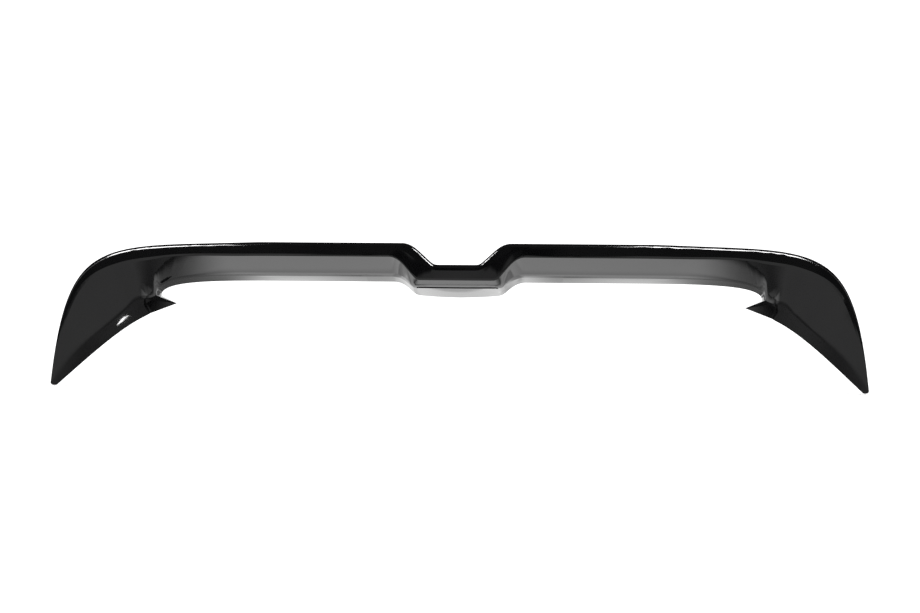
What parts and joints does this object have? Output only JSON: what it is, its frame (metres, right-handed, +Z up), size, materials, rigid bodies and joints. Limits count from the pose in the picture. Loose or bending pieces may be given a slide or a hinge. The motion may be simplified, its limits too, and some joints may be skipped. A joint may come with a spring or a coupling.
{
  "type": "car spoiler",
  "caption": "Gloss black rear roof spoiler: a hollow one-piece shell with a stepped middle, a tall rear edge and a pointed fin at each side, bonded on by its flat rim.",
  "frame": {"origin": "middle of the bonding rim's upper run, on the centre plane", "axes": "+X across the car to the right as seen from behind, +Y forwards towards the car, +Z up"},
  "size_m": [1.2, 0.1528, 0.2141],
  "materials": {
    "gloss_black": "high gloss black"
  },
  "bodies": {
    "root": {"spoiler_shell": "gloss_black"}
  },
  "joints": []
}
